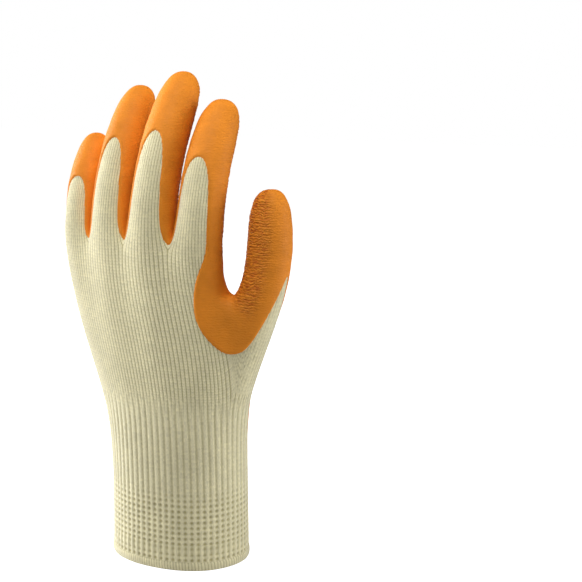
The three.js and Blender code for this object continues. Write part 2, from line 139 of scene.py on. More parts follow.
def hand_point(row, column):
    """One corner of the net on the hand: columns 0 to 8 cross the back and 10 to 18 the palm."""
    height, spread, flat, lean, knuckle, web = row
    on_back, on_side = column <= 8, column in (9, 19)
    index = column if on_back else 18 - column
    share = (1 if column == 9 else -1) if on_side else ACROSS_KNUCKLES[index] / KNUCKLE_HALF
    half = mix(CUFF_WIDTH / 2, KNUCKLE_HALF, spread)
    depth = mix(CUFF_DEPTH / 2, HAND_DEPTH / 2, flat)
    face = -1 if on_back else 1
    bulge = 0 if on_side else (1 - abs(share) ** OVAL_POWER) ** (1 / OVAL_POWER)
    width = WIDTHS[min(3, index // 2)]
    reach = VALLEY_SHARE if index % 2 == 0 else 1
    knuckle_y = 0 if on_side else face * width * FINGER_DEPTH_SHARE / 2 / RING_SHRINK * reach
    x = share * half * (SIDE_BULGE if on_side else 1)
    if web and 8 <= column <= 10:
        x += web * THUMB_WIDTH
    arch = np.interp(share * KNUCKLE_HALF, ROOT_X, SET_BACKS) * HAND_DEPTH * lean
    y = mix(face * depth * bulge, knuckle_y, knuckle) + arch
    return np.array([x - KNUCKLE_LEAN * lean, y, height])


def finger_frame(name, along):
    """Middle, back and right-hand direction of a curling finger at a share of its length."""
    width, length, lean, curl_start, curl_end, set_back = FINGERS[name]
    start, turn = math.radians(curl_start), math.radians(curl_end - curl_start)
    heading, side = start + turn * along, math.radians(lean)
    up = (math.sin(heading) - math.sin(start)) / turn
    over = (math.cos(start) - math.cos(heading)) / turn
    root = ROOT_X[FINGER_NAMES.index(name)]
    middle = np.array([
        root - KNUCKLE_LEAN + length * along * math.sin(side),
        set_back * HAND_DEPTH + length * over * math.cos(side),
        CROTCH_HEIGHT + length * up * math.cos(side),
    ])
    back = np.array([0, -math.cos(heading), math.sin(heading)])
    right = np.array([
        math.cos(side), -math.sin(side) * math.sin(heading), -math.sin(side) * math.cos(heading)])
    return middle, back, right


def thumb_heading(along):
    """Angle between the thumb and straight up at a share of its length."""
    return math.radians(THUMB_END + (THUMB_START - THUMB_END) * (1 - along) ** THUMB_SWING)


def thumb_frame(along):
    """The same as finger_frame for the thumb, which swings out from the hand and turns back up beside it."""
    steps = 40
    headings = [thumb_heading(along * (i + 0.5) / steps) for i in range(steps)]
    reach = THUMB_LENGTH * along
    middle = np.array([
        KNUCKLE_HALF * THUMB_ROOT[0] + reach * sum(map(math.sin, headings)) / steps,
        HAND_DEPTH * THUMB_ROOT[1] + reach * math.sin(math.radians(THUMB_RISE)),
        CUFF_HEIGHT + HAND_HEIGHT * THUMB_ROOT[2] + reach * sum(map(math.cos, headings)) / steps,
    ])
    heading, turned = thumb_heading(along), math.radians(THUMB_ROLL * along)
    outward = np.array([math.cos(heading), 0, -math.sin(heading)])
    palmward = np.array([0, 1, 0])
    back = outward * math.cos(turned) + palmward * math.sin(turned)
    right = palmward * math.cos(turned) - outward * math.sin(turned)
    return middle, back, right


def make_net():
    """Corners of the net, and its panels as (part, corners, column and row at each corner)."""
    points, panels = [], []

    def add(point):
        """Adds a corner and gives its number."""
        points.append(point)
        return len(points) - 1

    hand = [[add(hand_point(row, column)) for column in range(HAND_COLUMNS)] for row in HAND_ROWS]
    for k in range(TOP_ROW):
        for c in range(HAND_COLUMNS):
            if c in (8, 9) and k in (THUMB_ROW, THUMB_ROW + 1):
                continue
            d = (c + 1) % HAND_COLUMNS
            part = "hem" if k == 0 else "cuff" if k < THUMB_ROW - 1 else "hand"
            corners = [hand[k][c], hand[k][d], hand[k + 1][d], hand[k + 1][c]]
            panels.append((part, corners, [(c, k), (c + 1, k), (c + 1, k + 1), (c, k + 1)]))

    def grow(part, ring, rings, frame_at, width, depth):
        """Adds a finger from the ring of corners at its root, and closes its tip."""
        for k, (along, girth) in enumerate(rings):
            middle, back, right = frame_at(along)
            after = []
            for j in range(RING_COLUMNS):
                angle = math.radians(135 - 45 * j)
                aside = right * math.cos(angle) * width + back * math.sin(angle) * depth
                after.append(add(middle + aside * girth / 2 / RING_SHRINK))
            for j in range(RING_COLUMNS):
                m = (j + 1) % RING_COLUMNS
                corners = [ring[j], ring[m], after[m], after[j]]
                panels.append((part, corners, [(j, k), (j + 1, k), (j + 1, k + 1), (j, k + 1)]))
            ring = after
        tip, k = add(frame_at(1)[0]), len(rings)
        # Four panels close it. They meet at the tip, which is -1 here, and give it a column on their side.
        for quad, column in (((0, 1, -1, 7), 1), ((1, 2, 3, -1), 1), ((-1, 3, 4, 5), 5), ((7, -1, 5, 6), 5)):
            corners = [tip if j < 0 else ring[j] for j in quad]
            wrapped = [-1 if j == 7 and quad[0] == 0 else j for j in quad]
            places = [(column, k + 1) if j < 0 else (w, k) for j, w in zip(quad, wrapped)]
            panels.append((part, corners, places))

    top = hand[TOP_ROW]
    between = [add((points[top[2 * i]] + points[top[18 - 2 * i]]) / 2) for i in (1, 2, 3)]
    crotch = [top[19], *between, top[9]]
    for i, name in enumerate(FINGER_NAMES):
        a = 2 * i
        ring = [top[a], top[a + 1], top[a + 2], crotch[i + 1],
                top[16 - a], top[17 - a], top[18 - a], crotch[i]]
        grow(name, ring, FINGER_RINGS, lambda t, n=name: finger_frame(n, t), WIDTHS[i],
             WIDTHS[i] * FINGER_DEPTH_SHARE)
    low, mid, high = hand[THUMB_ROW], hand[THUMB_ROW + 1], hand[THUMB_ROW + 2]
    ring = [low[8], low[9], low[10], mid[10], high[10], high[9], high[8], mid[8]]
    grow("thumb", ring, THUMB_RINGS, thumb_frame, THUMB_WIDTH, THUMB_WIDTH)
    return points, panels


def rim_neighbours(points, rim_edges):
    """Numbers of the points on the open rim, and for each the sum of its two neighbours on it."""
    total = np.zeros((len(points), 3))
    np.add.at(total, rim_edges.ravel(), points[rim_edges[:, ::-1].ravel()])
    rim = np.unique(rim_edges)
    return rim, total[rim]


def smooth_net(points, panels, rounds):
    """Catmull-Clark rounds on the net. Gives the smooth skin's points and, for each panel of the net, a
    square grid of them."""
    faces = np.array([p[1] for p in panels])
    home = np.arange(len(panels))
    spots = np.tile(np.array([(0, 0), (1, 0), (1, 1), (0, 1)], float), (len(panels), 1, 1))
    points = np.array(points)
    for _ in range(rounds):
        count = len(points)
        centres = points[faces].mean(1)
        ends = np.stack([faces, np.roll(faces, -1, 1)], 2).reshape(-1, 2)
        owner = np.repeat(np.arange(len(faces)), 4)
        edges, which = np.unique(np.sort(ends, 1), axis=0, return_inverse=True)
        which = which.ravel()
        uses = np.bincount(which, minlength=len(edges))
        centre_sum = np.zeros((len(edges), 3))
        np.add.at(centre_sum, which, centres[owner])
        middles = points[edges].mean(1)
        inner = uses == 2
        edge_points = middles.copy()
        edge_points[inner] = (points[edges[inner]].sum(1) + centre_sum[inner]) / 4
        valence = np.maximum(np.bincount(faces.ravel(), minlength=count), 1)[:, None]
        face_mean = np.zeros((count, 3))
        np.add.at(face_mean, faces.ravel(), np.repeat(centres, 4, 0))
        degree = np.maximum(np.bincount(edges.ravel(), minlength=count), 1)[:, None]
        edge_mean = np.zeros((count, 3))
        np.add.at(edge_mean, edges.ravel(), np.repeat(middles, 2, 0))
        moved = (face_mean / valence + 2 * edge_mean / degree + points * (valence - 3)) / valence
        rim, beside = rim_neighbours(points, edges[~inner])
        moved[rim] = (points[rim] * 6 + beside) / 8
        points = np.concatenate([moved, edge_points, centres])
        edge_of = which.reshape(-1, 4) + count
        centre_of = np.arange(len(faces)) + count + len(edges)
        children, child_spots = [], []
        for i in range(4):
            n, b = (i + 1) % 4, (i + 3) % 4
            children.append(np.stack([faces[:, i], edge_of[:, i], centre_of, edge_of[:, b]], 1))
            child_spots.append(np.stack([
                spots[:, i], (spots[:, i] + spots[:, n]) / 2,
                spots.mean(1), (spots[:, i] + spots[:, b]) / 2], 1))
        faces, spots = np.concatenate(children), np.concatenate(child_spots)
        home = np.tile(home, 4)
    size = 2 ** rounds
    grids = np.zeros((len(panels), size + 1, size + 1), int)
    cell = np.rint(spots * size).astype(int)
    grids[home[:, None], cell[:, :, 0], cell[:, :, 1]] = faces
    return settle(points, faces), faces, grids


def settle(points, faces):
    """Moves the points onto the smooth skin that further rounds would reach."""
    count = len(points)
    ends = np.stack([faces, np.roll(faces, -1, 1)], 2).reshape(-1, 2)
    edges, uses = np.unique(np.sort(ends, 1), axis=0, return_counts=True)
    valence = np.maximum(np.bincount(faces.ravel(), minlength=count), 1)[:, None]
    total = points * valence * valence
    np.add.at(total, edges.ravel(), 4 * points[edges[:, ::-1].ravel()])
    np.add.at(total, faces.ravel(), points[np.roll(faces, 2, 1).ravel()])
    settled = total / (valence * (valence + 5))
    rim, beside = rim_neighbours(points, edges[uses == 1])
    settled[rim] = (points[rim] * 4 + beside) / 6
    return settled


def point_normals(points, faces):
    """Directions square to a mesh at each of its points."""
    corners = points[faces]
    if faces.shape[1] == 4:
        square = np.cross(corners[:, 2] - corners[:, 0], corners[:, 3] - corners[:, 1])
    else:
        square = np.cross(corners[:, 1] - corners[:, 0], corners[:, 2] - corners[:, 0])
    normals = np.stack([
        np.bincount(faces.ravel(), np.repeat(square[:, i], faces.shape[1]), len(points))
        for i in range(3)], 1)
    return normals / np.maximum(np.linalg.norm(normals, axis=1), 1e-12)[:, None]


ROUNDS = 4
NET_POINTS, PANELS = make_net()
SKIN, SKIN_FACES, SKIN_GRIDS = smooth_net(NET_POINTS, PANELS, ROUNDS)
SKIN_NORMALS = point_normals(SKIN, SKIN_FACES)
# At the open rim they are level.
rim = SKIN[:, 2] < HEM_HEIGHT / 4
SKIN_NORMALS[rim, 2] = 0
SKIN_NORMALS /= np.linalg.norm(SKIN_NORMALS, axis=1)[:, None]


def weights(count):
    """Weights that read a panel's own grid of points at count + 1 even places, with cubic curves."""
    size = 2 ** ROUNDS
    table = np.zeros((count + 1, size + 1))
    for r in range(count + 1):
        t = r / count * size
        k = min(max(int(t) - 1, 0), size - 3)
        for i in range(k, k + 4):
            table[r, i] = math.prod((t - m) / (i - m) for m in range(k, k + 4) if m != i)
    return table


def edge_names(corners, nu, nv):
    """A name for each place on a panel's edges that its neighbour knows it by too."""
    a, b, c, d = corners
    names = {}
    for first, last, count, at in (
        (a, b, nu, lambda i: (i, 0)), (d, c, nu, lambda i: (i, nv)),
        (a, d, nv, lambda i: (0, i)), (b, c, nv, lambda i: (nu, i)),
    ):
        for i in range(count + 1):
            if i in (0, count):
                names[at(i)] = first if i == 0 else last
            elif first < last:
                names[at(i)] = (first, last, round(i / count, 5))
            else:
                names[at(i)] = (last, first, round(1 - i / count, 5))
    return names


def panel_places(corner_places, nu, nv):
    """Column and row at nu + 1 by nv + 1 even places on a panel."""
    s, t = np.linspace(0, 1, nu + 1)[:, None, None], np.linspace(0, 1, nv + 1)[None, :, None]
    c = np.array(corner_places, float)
    return c[0] * (1 - s) * (1 - t) + c[1] * s * (1 - t) + c[2] * s * t + c[3] * (1 - s) * t


def corner_values(grid):
    """The four corner values of each cell of a grid."""
    return np.stack([grid[:-1, :-1], grid[1:, :-1], grid[1:, 1:], grid[:-1, 1:]], 2)


class Cloth:
    """A finer mesh on the skin for some of its panels, welded where panels meet."""

    def __init__(self, chosen, cells_of, fields=()):
        """cells_of(panel) gives the cells along its columns and its rows; fields are values on the skin."""
        known, count = {}, 0
        points, faces, places, panel_of = [], [], [], []
        source = np.column_stack([SKIN, SKIN_NORMALS, *fields])
        for n in chosen:
            _, corners, corner_places = PANELS[n]
            nu, nv = cells_of(n)
            values = np.einsum("ai,ijk,bj->abk", weights(nu), source[SKIN_GRIDS[n]], weights(nv))
            index = count + np.arange((nu + 1) * (nv + 1)).reshape(nu + 1, nv + 1)
            count += index.size
            for (i, j), name in edge_names(corners, nu, nv).items():
                index[i, j] = known.setdefault(name, index[i, j])
            points.append(values.reshape(-1, values.shape[2]))
            faces.append(corner_values(index).reshape(-1, 4))
            places.append(corner_values(panel_places(corner_places, nu, nv)).reshape(-1, 4, 2))
            panel_of.append(np.full(nu * nv, n))
        self.faces = np.concatenate(faces)
        used, self.faces = np.unique(self.faces, return_inverse=True)
        self.faces = self.faces.reshape(-1, 4)
        values = np.concatenate(points)[used]
        self.points, self.normals, self.fields = values[:, :3], values[:, 3:6], values[:, 6:]
        self.normals = self.normals / np.linalg.norm(self.normals, axis=1)[:, None]
        self.places = np.concatenate(places)
        self.panel = np.concatenate(panel_of)
        self.part = np.array([PANELS[n][0] for n in chosen])[np.searchsorted(chosen, self.panel)]

    def at_points(self, at_corners):
        """Mean at each point of values given at the corners of the faces."""
        total = np.bincount(self.faces.ravel(), at_corners.ravel(), len(self.points))
        return total / np.bincount(self.faces.ravel(), minlength=len(self.points))


# The latex line, needed first because the knit is only made in full where it shows. The hand was held back
# down in the dip, so the latex wraps the palm, both sides and the fingertips and leaves the back bare.

# Half widths of the bare strip on a finger's back to its left and right, in eighths of the way round, the
# share of the finger's length where it closes, and how round its end is.
BARE_STRIPS = {
    "little": (1.7, 0.95, 0.54, 2),
    "ring": (1.25, 0.95, 0.6, 2),
    "middle": (1.25, 0.95, 0.6, 2),
    "index": (1.25, 1.0, 0.56, 2),
    "thumb": (1.5, 0.9, 0.6, 1),
}
# Share of the way from rim to crotches, and how many columns the latex stays away from the back's middle.
LATEX_LITTLE_SIDE = [
    (0.25, 7.8), (0.262, 7.0), (0.285, 6.45), (0.33, 5.95), (0.4, 5.45), (0.55, 4.9), (1, 4.7)]
LATEX_THUMB_SIDE = [
    (0.25, 8.2), (0.262, 7.4), (0.285, 6.9), (0.33, 6.5), (0.4, 6.3), (0.5, 6.0), (0.6, 5.3), (0.65, 4.9),
    (0.68, 4.15), (0.7, 3.5), (0.73, 3.0), (0.76, 2.8), (0.82, 2.75), (0.9, 3.05), (0.95, 3.4), (1, 3.9),
]
# Height of the level edge across the palm, as a share of the way from rim to crotches.
LATEX_LOW_EDGE = 0.247
LINE_SMOOTHING = 40
COLUMN_WIDTH = math.pi * (CUFF_WIDTH + CUFF_DEPTH) / 2 / HAND_COLUMNS
BACK_MIDDLE, FINGER_BACK_MIDDLE = 4, 1


def latex_depth(part, column, row, height):
    """How far a place on a panel is inside the latex: above 0 is coated."""
    if part == "hem":
        return np.full(column.shape, -1.0)
    if part in ("cuff", "hand"):
        from_back = (column - BACK_MIDDLE) % HAND_COLUMNS
        thumb_side = from_back <= HAND_COLUMNS / 2
        away = np.where(thumb_side, from_back, HAND_COLUMNS - from_back)
        share = height / CROTCH_HEIGHT
        lines = [np.interp(share, *zip(*side)) for side in (LATEX_THUMB_SIDE, LATEX_LITTLE_SIDE)]
        above_edge = (height - LATEX_LOW_EDGE * CROTCH_HEIGHT) / COLUMN_WIDTH
        return np.minimum(away - np.where(thumb_side, *lines), above_edge)
    left, right, knit_end, roundness = BARE_STRIPS[part]
    from_back = (column - FINGER_BACK_MIDDLE) % RING_COLUMNS
    on_right = from_back <= RING_COLUMNS / 2
    away = np.where(on_right, from_back / right, (RING_COLUMNS - from_back) / left)
    rings = THUMB_RINGS if part == "thumb" else FINGER_RINGS
    stations = [0, *(along for along, _ in rings), 1]
    along = np.interp(row, range(len(stations)), stations)
    return away ** roundness + (along / knit_end) ** (2 * roundness) - 1


def latex_field():
    """The depth at each point of the skin, made even across the lines where fingers join the hand."""
    total, count = np.zeros(len(SKIN)), np.zeros(len(SKIN))
    for (part, _, corner_places), grid in zip(PANELS, SKIN_GRIDS):
        place = panel_places(corner_places, 2 ** ROUNDS, 2 ** ROUNDS)
        np.add.at(total, grid, latex_depth(part, place[..., 0], place[..., 1], SKIN[grid][..., 2]))
        np.add.at(count, grid, 1)
    depth = total / np.maximum(count, 1)
    ends = np.stack([SKIN_FACES, np.roll(SKIN_FACES, -1, 1)], 2).reshape(-1, 2)
    degree = np.maximum(np.bincount(ends.ravel(), minlength=len(SKIN)), 1)
    for _ in range(LINE_SMOOTHING):
        near = np.bincount(ends[:, 0], depth[ends[:, 1]], len(SKIN))
        near += np.bincount(ends[:, 1], depth[ends[:, 0]], len(SKIN))
        depth = near / degree
    return depth


LATEX_DEPTH = latex_field()

# The liner. A ten-gauge flat machine knits it without a seam from cream polycotton yarn in plain jersey:
# wales run from the cuff to the fingertips, and each stitch is a small V of two yarn legs.

# Wales to each column of the hand and of a finger, and the width of a wale on the thumb.
WALES_ON_HAND = 6
WALES_ON_FINGER = (6, 6, 5, 5, 6, 6, 5, 5)
WALE_ON_THUMB = 1.9
COURSE = 1.4
# The thumb's knit starts above its root, at the hole in the hand, and has this share of its length.
THUMB_KNIT_SHARE = 0.86
# The same machine knits the cuff, with ribs all round it and rows of beads low on it. Both fade out upwards.
RIBS = 64
RIB_TOP, RIB_FADE = 70, 22
BEAD_TOP, BEAD_FADE, BEAD_PITCH = 32, 12, 2.75
KNIT_RELIEF, RIB_RELIEF = 0.34, 0.75
# Round the thumb's hole: the size of a panel, and the width of the flat line of joining stitches, on the hand
# in millimetres and on the thumb in rows.
HOLE_COLUMN, HOLE_ROW = 10, 26
JOIN_ON_HAND, JOIN_ON_THUMB = 0.9, 0.04
# How deep under the latex a panel's stitches no longer show.
HIDDEN_DEPTH = 0.12
COARSE_CELLS = 8
CUFF_CELL = 0.45


def courses_to_row(part):
    """How many courses lie below each row of panels of a part."""
    if part in TUBE_PARTS:
        stations = [row[0] for row in HAND_ROWS]
    else:
        rings = THUMB_RINGS if part == "thumb" else FINGER_RINGS
        length = THUMB_LENGTH * THUMB_KNIT_SHARE if part == "thumb" else FINGERS[part][1]
        stations = [0, *(along * length for along, _ in rings), length]
    counts = [max(round((b - a) / COURSE), 1) for a, b in zip(stations, stations[1:])]
    return np.cumsum([0, *counts])


def thumb_girths():
    """Distance round the thumb from the middle of its back, at each point of the skin."""
    around = np.zeros(len(SKIN))
    panels = {p[2][0]: SKIN_GRIDS[n] for n, p in enumerate(PANELS) if p[0] == "thumb"}
    for k in range(len(THUMB_RINGS)):
        for columns, sign in (((1, 2, 3, 4), 1), ((0, 7, 6, 5), -1)):
            start = 0
            for j in columns:
                grid = panels[(j, k)][::sign]
                step = np.linalg.norm(np.diff(SKIN[grid], axis=0), axis=2)
                length = start + np.concatenate([np.zeros((1, step.shape[1])), np.cumsum(step, 0)])
                around[grid] = sign * length
                start = length[-1]
    return around


THUMB_GIRTHS = thumb_girths()


def tube_turns():
    """Cosine and sine of the share of the way round the cuff and hand, by distance along the cloth."""
    turns = np.zeros((2, len(SKIN)))
    panels = {p[2][0]: SKIN_GRIDS[n] for n, p in enumerate(PANELS) if p[0] in TUBE_PARTS}
    around = [(BACK_MIDDLE + c) % HAND_COLUMNS for c in range(HAND_COLUMNS)]
    for k in range(TOP_ROW):
        row = [panels[(c, k)] for c in around if (c, k) in panels]
        steps = [np.linalg.norm(np.diff(SKIN[grid], axis=0), axis=2) for grid in row]
        total = sum(step.sum(0) for step in steps)
        start = 0
        for grid, step in zip(row, steps):
            length = start + np.concatenate([np.zeros((1, step.shape[1])), np.cumsum(step, 0)])
            turns[0][grid] = np.cos(math.tau * length / total)
            turns[1][grid] = np.sin(math.tau * length / total)
            start = length[-1]
    return turns


TUBE_TURNS = tube_turns()


def rib_count(cloth):
    """Ribs round the cuff from the middle of the back, at each corner of a cloth's faces."""
    turn = np.arctan2(cloth.fields[:, 2], cloth.fields[:, 1])[cloth.faces]
    crosses_back = (turn.max(1) - turn.min(1) > math.pi)[:, None]
    turn = np.where((turn < 0) & crosses_back, turn + math.tau, turn)
    return turn / math.tau * RIBS


def stitch_places(cloth):
    """Wale and course count at each corner of a cloth's faces."""
    wales, courses = np.zeros(cloth.places.shape[:2]), np.zeros(cloth.places.shape[:2])
    finger_wales = np.concatenate([[0], np.cumsum(WALES_ON_FINGER)])
    for part in np.unique(cloth.part):
        here = cloth.part == part
        column, row = cloth.places[here, :, 0], cloth.places[here, :, 1]
        below = courses_to_row(part)
        courses[here] = np.interp(row, range(len(below)), below)
        if part in TUBE_PARTS:
            wales[here] = column * WALES_ON_HAND
        elif part == "thumb":
            wales[here] = cloth.fields[:, 0][cloth.faces[here]] / WALE_ON_THUMB
        else:
            steps = [-WALES_ON_FINGER[7], *finger_wales]
            wales[here] = np.interp(column, range(-1, RING_COLUMNS + 1), steps)
    return wales, courses


def smooth_step(a, b, x):
    """0 below a and 1 above b, with a soft S between."""
    t = np.clip((x - a) / (b - a), 0, 1)
    return t * t * (3 - 2 * t)


def stitch_relief(wales, courses):
    """Height of plain jersey, 0 in the grooves to 1 on the legs of the stitches."""
    across = np.abs((wales % 1) * 2 - 1)
    leg = np.sqrt(np.clip(1 - across ** 2.6, 0, 1)) - 0.28 * np.exp(-((across / 0.22) ** 2))
    chevron = 0.5 + 0.5 * np.cos(2 * np.pi * (courses - 0.55 * across))
    return leg * (0.7 + 0.3 * chevron)


def knit_relief(cloth):
    """Height of the knit over the skin at each point: in shares of its own depth, which set its painted shade
    in the grooves, and in millimetres.
    """
    wales, courses = stitch_places(cloth)
    z = cloth.points[cloth.faces][..., 2]
    on_tube = np.isin(cloth.part, TUBE_PARTS)[:, None]
    ribbed = np.where(on_tube, 1 - smooth_step(RIB_TOP, RIB_TOP + RIB_FADE, z), 0)
    beaded = ribbed * (1 - smooth_step(BEAD_TOP, BEAD_TOP + BEAD_FADE, z))
    # A rib has a groove at each side and small Vs between, and a bead has a gap above and below it too.
    ribs = rib_count(cloth)
    groove, row_gap = np.cos(np.pi * ribs) ** 2, np.cos(np.pi * z / BEAD_PITCH) ** 2
    plain = stitch_relief(wales, courses)
    rib = (1 - 0.6 * groove ** 2) * (0.75 + 0.25 * stitch_relief(2 * ribs, courses))
    bead = 1 - 0.3 * groove - 0.15 * row_gap - 0.5 * groove * row_gap
    rib = mix(rib, bead, beaded)
    # Where the thumb joins the hand the two knits meet square on, in a flat line of joining stitches.
    column, row = cloth.places[..., 0], cloth.places[..., 1]
    to_hole = np.hypot(
        np.maximum(np.maximum(8 - column, column - 10), 0) * HOLE_COLUMN,
        np.maximum(np.maximum(THUMB_ROW - row, row - THUMB_ROW - 2), 0) * HOLE_ROW,
    )
    joined = np.where((cloth.part == "hand")[:, None], smooth_step(0, JOIN_ON_HAND, to_hole), 1)
    joined = np.where((cloth.part == "thumb")[:, None], smooth_step(0, JOIN_ON_THUMB, row), joined)
    # The share is for colour only: it sets the painted shade down in the grooves, and it is an even 0.7 along
    # the joining stitches.
    share = mix(0.7, mix(plain, rib, ribbed), joined)
    lift = mix(KNIT_RELIEF * (plain - 0.6), RIB_RELIEF * (rib - 0.8), ribbed) * joined
    return cloth.at_points(share), cloth.at_points(lift)


def knit_cells(n):
    """A fine mesh where the knit shows, in step with its stitches, and a coarse one under the latex."""
    part, _, places = PANELS[n]
    if LATEX_DEPTH[SKIN_GRIDS[n]].min() > HIDDEN_DEPTH:
        return COARSE_CELLS, COARSE_CELLS
    row = int(min(place[1] for place in places))
    below = courses_to_row(part)
    courses = int(below[row + 1] - below[row])
    if part in ("hem", "cuff"):
        height = HAND_ROWS[row + 1][0] - HAND_ROWS[row][0]
        return 24, max(COARSE_CELLS, round(height / CUFF_CELL))
    if part == "hand":
        return 30, 4 * courses
    column = int(min(place[0] for place in places))
    return (24 if part == "thumb" else 6 * WALES_ON_FINGER[column % RING_COLUMNS]), 4 * courses


def to_linear(colour):
    """sRGB hex to the linear colour that shaders take."""
    parts = [int(colour[i:i + 2], 16) / 255 for i in (1, 3, 5)]
    return tuple(c / 12.92 if c <= 0.04045 else ((c + 0.055) / 1.055) ** 2.4 for c in parts) + (1.0,)


def add_node(tree, kind, settings=None, **links):
    """Adds a node. Settings go to its sockets by name or number, or to the node itself. Links come from other
    nodes' sockets, to the socket of that name or, for i0, i1 and so on, of that number."""
    made = tree.nodes.new(kind)
    for name, value in (settings or {}).items():
        if isinstance(name, int) or name in made.inputs:
            made.inputs[name].default_value = value
        else:
            setattr(made, name, value)
    for name, source in links.items():
        numbered = name[0] == "i" and name[1:].isdigit()
        tree.links.new(source, made.inputs[int(name[1:]) if numbered else name.replace("_", " ")])
    return made


def new_material(name):
    """A material without nodes, and its node tree."""
    material = bpy.data.materials.new(name)
    material.use_nodes = True
    material.node_tree.nodes.clear()
    return material, material.node_tree


# Most values of a noise texture lie between these.
NOISE_RANGE = {"From Min": 0.3, "From Max": 0.7}


def knitted_yarn(name, light, shade, uneven):
    """Fuzzy cotton yarn: matte, pale on the legs of the stitches and with painted shade down between them,
    where the grooves fall in shadow, and with a soft edge glow from the loose fibres. The yarn's own twist is
    drawn at 0.5 mm, twice the real size, to show.
    Flecks of fibre are 1 mm and blotches 14 mm across, and a scale of 1000 is 1 mm."""
    material, tree = new_material(name)
    stitch = add_node(tree, "ShaderNodeUVMap", {"uv_map": "stitch"})
    relief = add_node(tree, "ShaderNodeAttribute", {"attribute_name": "relief"})
    spot = add_node(tree, "ShaderNodeTexCoord").outputs["Object"]
    fibre = add_node(tree, "ShaderNodeTexNoise", {"Scale": 900, "Detail": 4, "Roughness": 0.65}, Vector=spot)
    patch = add_node(tree, "ShaderNodeTexNoise", {"Scale": 70, "Detail": 3, "Roughness": 0.6}, Vector=spot)
    # The twist is counted in stitches: four streaks across a wale, each about a course long.
    yarn_place = add_node(tree, "ShaderNodeMapping", {"Scale": (2.0, 0.5, 1)}, Vector=stitch.outputs["UV"])
    yarn = add_node(tree, "ShaderNodeTexNoise", {"Scale": 2.0, "Detail": 2, "Roughness": 0.5},
                    Vector=yarn_place.outputs["Vector"])
    # Painted shade: by the knit's relief, the colour runs from the light yarn on the legs to the shade colour
    # down in the grooves.
    grooves = add_node(tree, "ShaderNodeMapRange", {"From Min": 0.12, "From Max": 0.8},
                       Value=relief.outputs["Fac"])
    colour = add_node(tree, "ShaderNodeMix", {
        "data_type": "RGBA", 6: to_linear(shade), 7: to_linear(light)}, i0=grooves.outputs["Result"])
    whole = add_node(tree, "ShaderNodeVectorMath", {"operation": "FLOOR"}, i0=stitch.outputs["UV"])
    stitch_noise = add_node(tree, "ShaderNodeTexWhiteNoise", {}, Vector=whole.outputs["Vector"])
    stitch_tone = add_node(tree, "ShaderNodeMapRange", {"To Min": 1 - uneven, "To Max": 1 + uneven / 2},
                           Value=stitch_noise.outputs["Value"])
    speckle = add_node(tree, "ShaderNodeMapRange", {**NOISE_RANGE, "To Min": 0.9, "To Max": 1.08},
                       Value=yarn.outputs["Fac"])
    blotch = add_node(tree, "ShaderNodeMapRange", {**NOISE_RANGE, "To Min": 0.93, "To Max": 1.05},
                      Value=patch.outputs["Fac"])
    amount = add_node(tree, "ShaderNodeMath", {"operation": "MULTIPLY"},
                      i0=speckle.outputs["Result"], i1=blotch.outputs["Result"])
    tone = add_node(tree, "ShaderNodeMath", {"operation": "MULTIPLY"},
                    i0=amount.outputs["Value"], i1=stitch_tone.outputs["Result"])
    tinted = add_node(tree, "ShaderNodeVectorMath", {"operation": "SCALE"},
                      i0=colour.outputs[2], Scale=tone.outputs["Value"])
    bump = add_node(tree, "ShaderNodeBump", {"Strength": 0.5, "Distance": 0.00025},
                    Height=fibre.outputs["Fac"])
    twist = add_node(tree, "ShaderNodeBump", {"Strength": 0.5, "Distance": 0.0004},
                     Height=yarn.outputs["Fac"], Normal=bump.outputs["Normal"])
    shader = add_node(tree, "ShaderNodeBsdfPrincipled", {
        "Roughness": 0.92, "Specular IOR Level": 0.15, "Sheen Weight": 0.9, "Sheen Roughness": 0.4,
    }, Base_Color=tinted.outputs["Vector"], Normal=twist.outputs["Normal"])
    add_node(tree, "ShaderNodeOutputMaterial", Surface=shader.outputs["BSDF"])
    return material


def make_piece(name, points, faces, material, normals=None, uv=None, **values):
    """A smooth mesh on the glove's one body, from points in millimetres. uv is given at the corners of the
    faces, and values are numbers at the points that the material reads by name."""
    used, index = np.unique(faces, return_inverse=True)
    mesh = bpy.data.meshes.new(name)
    mesh.from_pydata((points[used] * 0.001).tolist(), [], index.reshape(faces.shape).tolist())
    mesh.materials.append(material)
    if uv is not None:
        mesh.uv_layers.new(name="stitch").data.foreach_set("uv", uv.reshape(-1).astype(np.float32))
    for label, value in values.items():
        mesh.attributes.new(label, "FLOAT", "POINT").data.foreach_set("value", value[used].astype(np.float32))
    mesh.shade_smooth()
    if normals is not None:
        mesh.normals_split_custom_set_from_vertices(normals[used].tolist())
    made = bpy.data.objects.new(name, mesh)
    bpy.context.scene.collection.objects.link(made)
    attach(made, "root")
    return made


knit = Cloth([n for n, p in enumerate(PANELS) if p[0] != "hem"], knit_cells, [THUMB_GIRTHS, *TUBE_TURNS])
knit_painted_shade, knit_lift = knit_relief(knit)
knit_points = knit.points + knit.normals * knit_lift[:, None]
knit_normals = point_normals(knit_points, knit.faces)
knit_stitches = np.stack(stitch_places(knit), 2)
# The yarn's own colour, the painted shade for its grooves, and how much the stitches' tone varies at random.
YARN_LIGHT, YARN_PAINTED_SHADE, YARN_UNEVEN = "#f3ebc3", "#bfb481", 0.06
jersey = knitted_yarn("cream_cotton_jersey", YARN_LIGHT, YARN_PAINTED_SHADE, YARN_UNEVEN)
for part in ("hand", "thumb", *FINGER_NAMES):
    here = knit.part == part
    piece = make_piece(f"{part}_jersey", knit_points, knit.faces[here], jersey, knit_normals,
                       knit_stitches[here], relief=knit_painted_shade)
    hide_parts(f"knit_{part}")

# The cuff. The same yarn with covered elastic laid in, knitted two by two, so it draws in to upright ribs.
# Towards the rim the elastic is laid in every few courses, which pinches each rib into a row of beads. It is
# matte and cream like the jersey, so that the one runs into the other.

